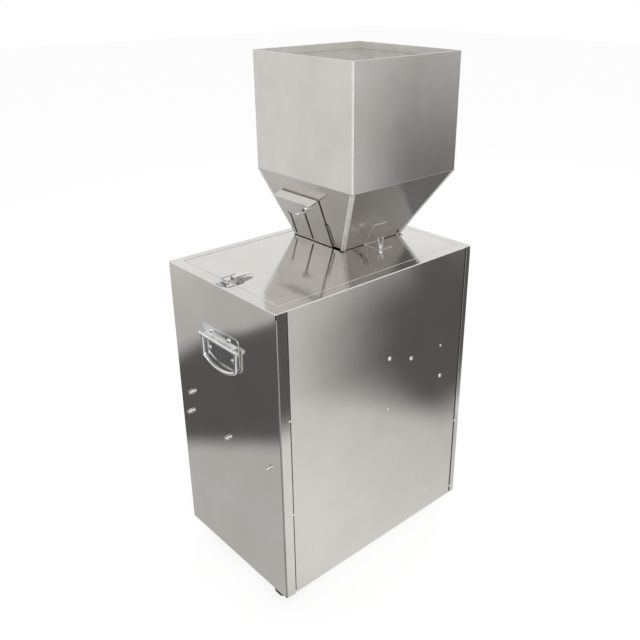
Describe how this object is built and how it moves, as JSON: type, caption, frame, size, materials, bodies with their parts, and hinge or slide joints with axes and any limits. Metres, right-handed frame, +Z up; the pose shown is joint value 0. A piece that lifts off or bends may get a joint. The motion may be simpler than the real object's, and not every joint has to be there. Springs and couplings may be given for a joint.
{
  "type": "weighing filling machine",
  "caption": "Sheet-metal cabinet on casters with a square hopper on its lid, a vibrating feeder, a weigh bucket and a filling spout on the operator's side.",
  "frame": {"origin": "middle of the footprint's bounding box, on the floor", "axes": "+Z up; +X is the end with the lid latch; -Y is the operator's side with the spout"},
  "size_m": [0.6064, 0.4556, 1.1804],
  "materials": {
    "sheet": "bright rolled stainless sheet, finely brushed",
    "zinc": "zinc-plated steel",
    "chrome": "bright plated",
    "rubber": "matt black rubber",
    "grey_paint": "satin grey paint",
    "copper_coil": "taped winding",
    "aluminium": "milled aluminium",
    "plunger_steel": "ground steel",
    "window": "tinted clear window",
    "black_plastic": "moulded black plastic",
    "red_plastic": "moulded red plastic",
    "button_plastic": "moulded plastic",
    "board": "circuit board"
  },
  "bodies": {
    "cabinet": {"base_pan": "sheet", "right_end_panel": "sheet", "left_end_panel": "sheet", "back_panel": "sheet", "front_panel": "sheet", "top_rim": "sheet", "latch_keeper": "chrome", "handle_plate_right": "chrome", "handle_plate_left": "chrome", "feeder_bracket": "zinc", "feeder_isolators": "rubber", "feeder_base": "grey_paint", "feeder_magnet": "copper_coil", "weigh_rail": "zinc", "load_cell": "aluminium", "weigh_arm": "zinc", "weigh_bucket": "sheet", "flap_solenoid": "grey_paint", "discharge_chute": "sheet", "discharge_spout": "sheet", "control_panel": "sheet", "display_window": "window", "control_board": "board", "power_supply": "grey_paint", "power_inlet": "black_plastic", "panel_bolts": "chrome", "caster_plates": "zinc"},
    "lid": {"lid": "sheet", "latch_base": "chrome"},
    "latch_lever": {"latch_lever": "chrome"},
    "latch_bail": {"latch_bail": "chrome"},
    "hopper": {"hopper_bin": "sheet", "hopper_cone": "sheet", "gate_guides": "sheet", "hopper_brackets": "sheet"},
    "hopper_screw_back": {"hopper_screw_back": "chrome"},
    "hopper_screw_left": {"hopper_screw_left": "chrome"},
    "gate": {"flow_gate": "sheet"},
    "gate_nut": {"gate_wing_nut": "chrome"},
    "handle_right": {"handle_bail_right": "chrome"},
    "handle_left": {"handle_bail_left": "chrome"},
    "trough": {"feeder_trough": "sheet", "feeder_springs": "zinc"},
    "flap": {"weigh_flap": "sheet"},
    "plunger": {"solenoid_plunger": "plunger_steel"},
    "rocker": {"power_rocker": "red_plastic"},
    "knob": {"speed_knob": "black_plastic"},
    "button_1": {"push_button_1": "button_plastic"},
    "button_2": {"push_button_2": "button_plastic"},
    "button_3": {"push_button_3": "button_plastic"},
    "fork_back_right": {"caster_fork_back_right": "zinc"},
    "wheel_back_right": {"caster_wheel_back_right": "rubber"},
    "fork_back_left": {"caster_fork_back_left": "zinc"},
    "wheel_back_left": {"caster_wheel_back_left": "rubber"},
    "fork_front_right": {"caster_fork_front_right": "zinc"},
    "wheel_front_right": {"caster_wheel_front_right": "rubber"},
    "fork_front_left": {"caster_fork_front_left": "zinc"},
    "wheel_front_left": {"caster_wheel_front_left": "rubber"}
  },
  "joints": [
    {"name": "lid_tilt", "type": "hinge", "parent": "cabinet", "child": "lid", "pos_m": [-0.26377, 0.0292, 0.755], "axis": [0, -1, 0], "range_deg": [0, 70]},
    {"name": "latch_lever_turn", "type": "hinge", "parent": "lid", "child": "latch_lever", "pos_m": [0.24622, 0.0302, 0.761], "axis": [0, 1, 0], "range_deg": [0, 120]},
    {"name": "latch_bail_turn", "type": "hinge", "parent": "latch_lever", "child": "latch_bail", "pos_m": [0.23222, 0.0302, 0.761], "axis": [0, 1, 0], "range_deg": [-120, 0]},
    {"name": "hopper_lift", "type": "slide", "parent": "lid", "child": "hopper", "axis": [0, 0, 1], "range_m": [0, 0.06]},
    {"name": "hopper_screw_back_turn", "type": "hinge", "parent": "hopper", "child": "hopper_screw_back", "pos_m": [-0.11177, 0.0984, 0.755], "axis": [0, 0, 1], "continuous": true},
    {"name": "hopper_screw_left_turn", "type": "hinge", "parent": "hopper", "child": "hopper_screw_left", "pos_m": [-0.24597, -0.0303, 0.755], "axis": [0, 0, 1], "continuous": true},
    {"name": "gate_slide", "type": "slide", "parent": "hopper", "child": "gate", "axis": [0.3333, 0, 0.9428], "range_m": [0, 0.075]},
    {"name": "gate_nut_turn", "type": "hinge", "parent": "hopper", "child": "gate_nut", "pos_m": [-0.00545, -0.0428, 0.83514], "axis": [0.9428, 0, -0.3333], "continuous": true},
    {"name": "handle_right_swing", "type": "hinge", "parent": "cabinet", "child": "handle_right", "pos_m": [0.29773, 0.0302, 0.6265], "axis": [0, -1, 0], "range_deg": [0, 90]},
    {"name": "handle_left_swing", "type": "hinge", "parent": "cabinet", "child": "handle_left", "pos_m": [-0.29128, 0.0302, 0.6265], "axis": [0, 1, 0], "range_deg": [0, 90]},
    {"name": "trough_vibration", "type": "slide", "parent": "cabinet", "child": "trough", "axis": [0.9397, 0, 0.342], "range_m": [-0.0004, 0.0004], "stiffness_N_per_m": 60000},
    {"name": "flap_turn", "type": "hinge", "parent": "cabinet", "child": "flap", "pos_m": [0.16323, -0.0303, 0.552], "axis": [0, -1, 0], "range_deg": [0, 50], "stiffness_Nm_per_rad": 0.25, "springref_deg": -34.38},
    {"name": "plunger_slide", "type": "slide", "parent": "cabinet", "child": "plunger", "axis": [0, 0, 1], "range_m": [0, 0.02528]},
    {"name": "rocker_turn", "type": "hinge", "parent": "cabinet", "child": "rocker", "pos_m": [-0.02278, -0.1628, 0.622], "axis": [-1, 0, 0], "range_deg": [0, 20]},
    {"name": "knob_turn", "type": "hinge", "parent": "cabinet", "child": "knob", "pos_m": [-0.02678, -0.1628, 0.556], "axis": [0, 1, 0], "range_deg": [0, 300]},
    {"name": "button_1_press", "type": "slide", "parent": "cabinet", "child": "button_1", "axis": [0, 1, 0], "range_m": [0, 0.0015], "stiffness_N_per_m": 400, "springref_m": -0.001},
    {"name": "button_2_press", "type": "slide", "parent": "cabinet", "child": "button_2", "axis": [0, 1, 0], "range_m": [0, 0.0015], "stiffness_N_per_m": 400, "springref_m": -0.001},
    {"name": "button_3_press", "type": "slide", "parent": "cabinet", "child": "button_3", "axis": [0, 1, 0], "range_m": [0, 0.0015], "stiffness_N_per_m": 400, "springref_m": -0.001},
    {"name": "fork_back_right_swivel", "type": "hinge", "parent": "cabinet", "child": "fork_back_right", "pos_m": [0.23073, 0.1642, 0.058], "axis": [0, 0, 1], "continuous": true},
    {"name": "wheel_back_right_roll", "type": "hinge", "parent": "fork_back_right", "child": "wheel_back_right", "pos_m": [0.24873, 0.1642, 0.025], "axis": [0, 1, 0], "continuous": true},
    {"name": "fork_back_left_swivel", "type": "hinge", "parent": "cabinet", "child": "fork_back_left", "pos_m": [-0.22428, 0.1642, 0.058], "axis": [0, 0, 1], "continuous": true},
    {"name": "wheel_back_left_roll", "type": "hinge", "parent": "fork_back_left", "child": "wheel_back_left", "pos_m": [-0.21527, 0.14861, 0.025], "axis": [0.866, 0.5, 0], "continuous": true},
    {"name": "fork_front_right_swivel", "type": "hinge", "parent": "cabinet", "child": "fork_front_right", "pos_m": [0.23073, -0.0998, 0.058], "axis": [0, 0, 1], "continuous": true},
    {"name": "wheel_front_right_roll", "type": "hinge", "parent": "fork_front_right", "child": "wheel_front_right", "pos_m": [0.21514, -0.0908, 0.025], "axis": [-0.5, -0.866, 0], "continuous": true},
    {"name": "fork_front_left_swivel", "type": "hinge", "parent": "cabinet", "child": "fork_front_left", "pos_m": [-0.22428, -0.0998, 0.058], "axis": [0, 0, 1], "continuous": true},
    {"name": "wheel_front_left_roll", "type": "hinge", "parent": "fork_front_left", "child": "wheel_front_left", "pos_m": [-0.21527, -0.08421, 0.025], "axis": [-0.866, 0.5, 0], "continuous": true}
  ],
  "couplings": [
    {"joint": "latch_bail_turn", "follows": "latch_lever_turn", "ratio": -1},
    {"joint": "plunger_slide", "follows": "flap_turn", "m_per_rad": 0.028968}
  ]
}
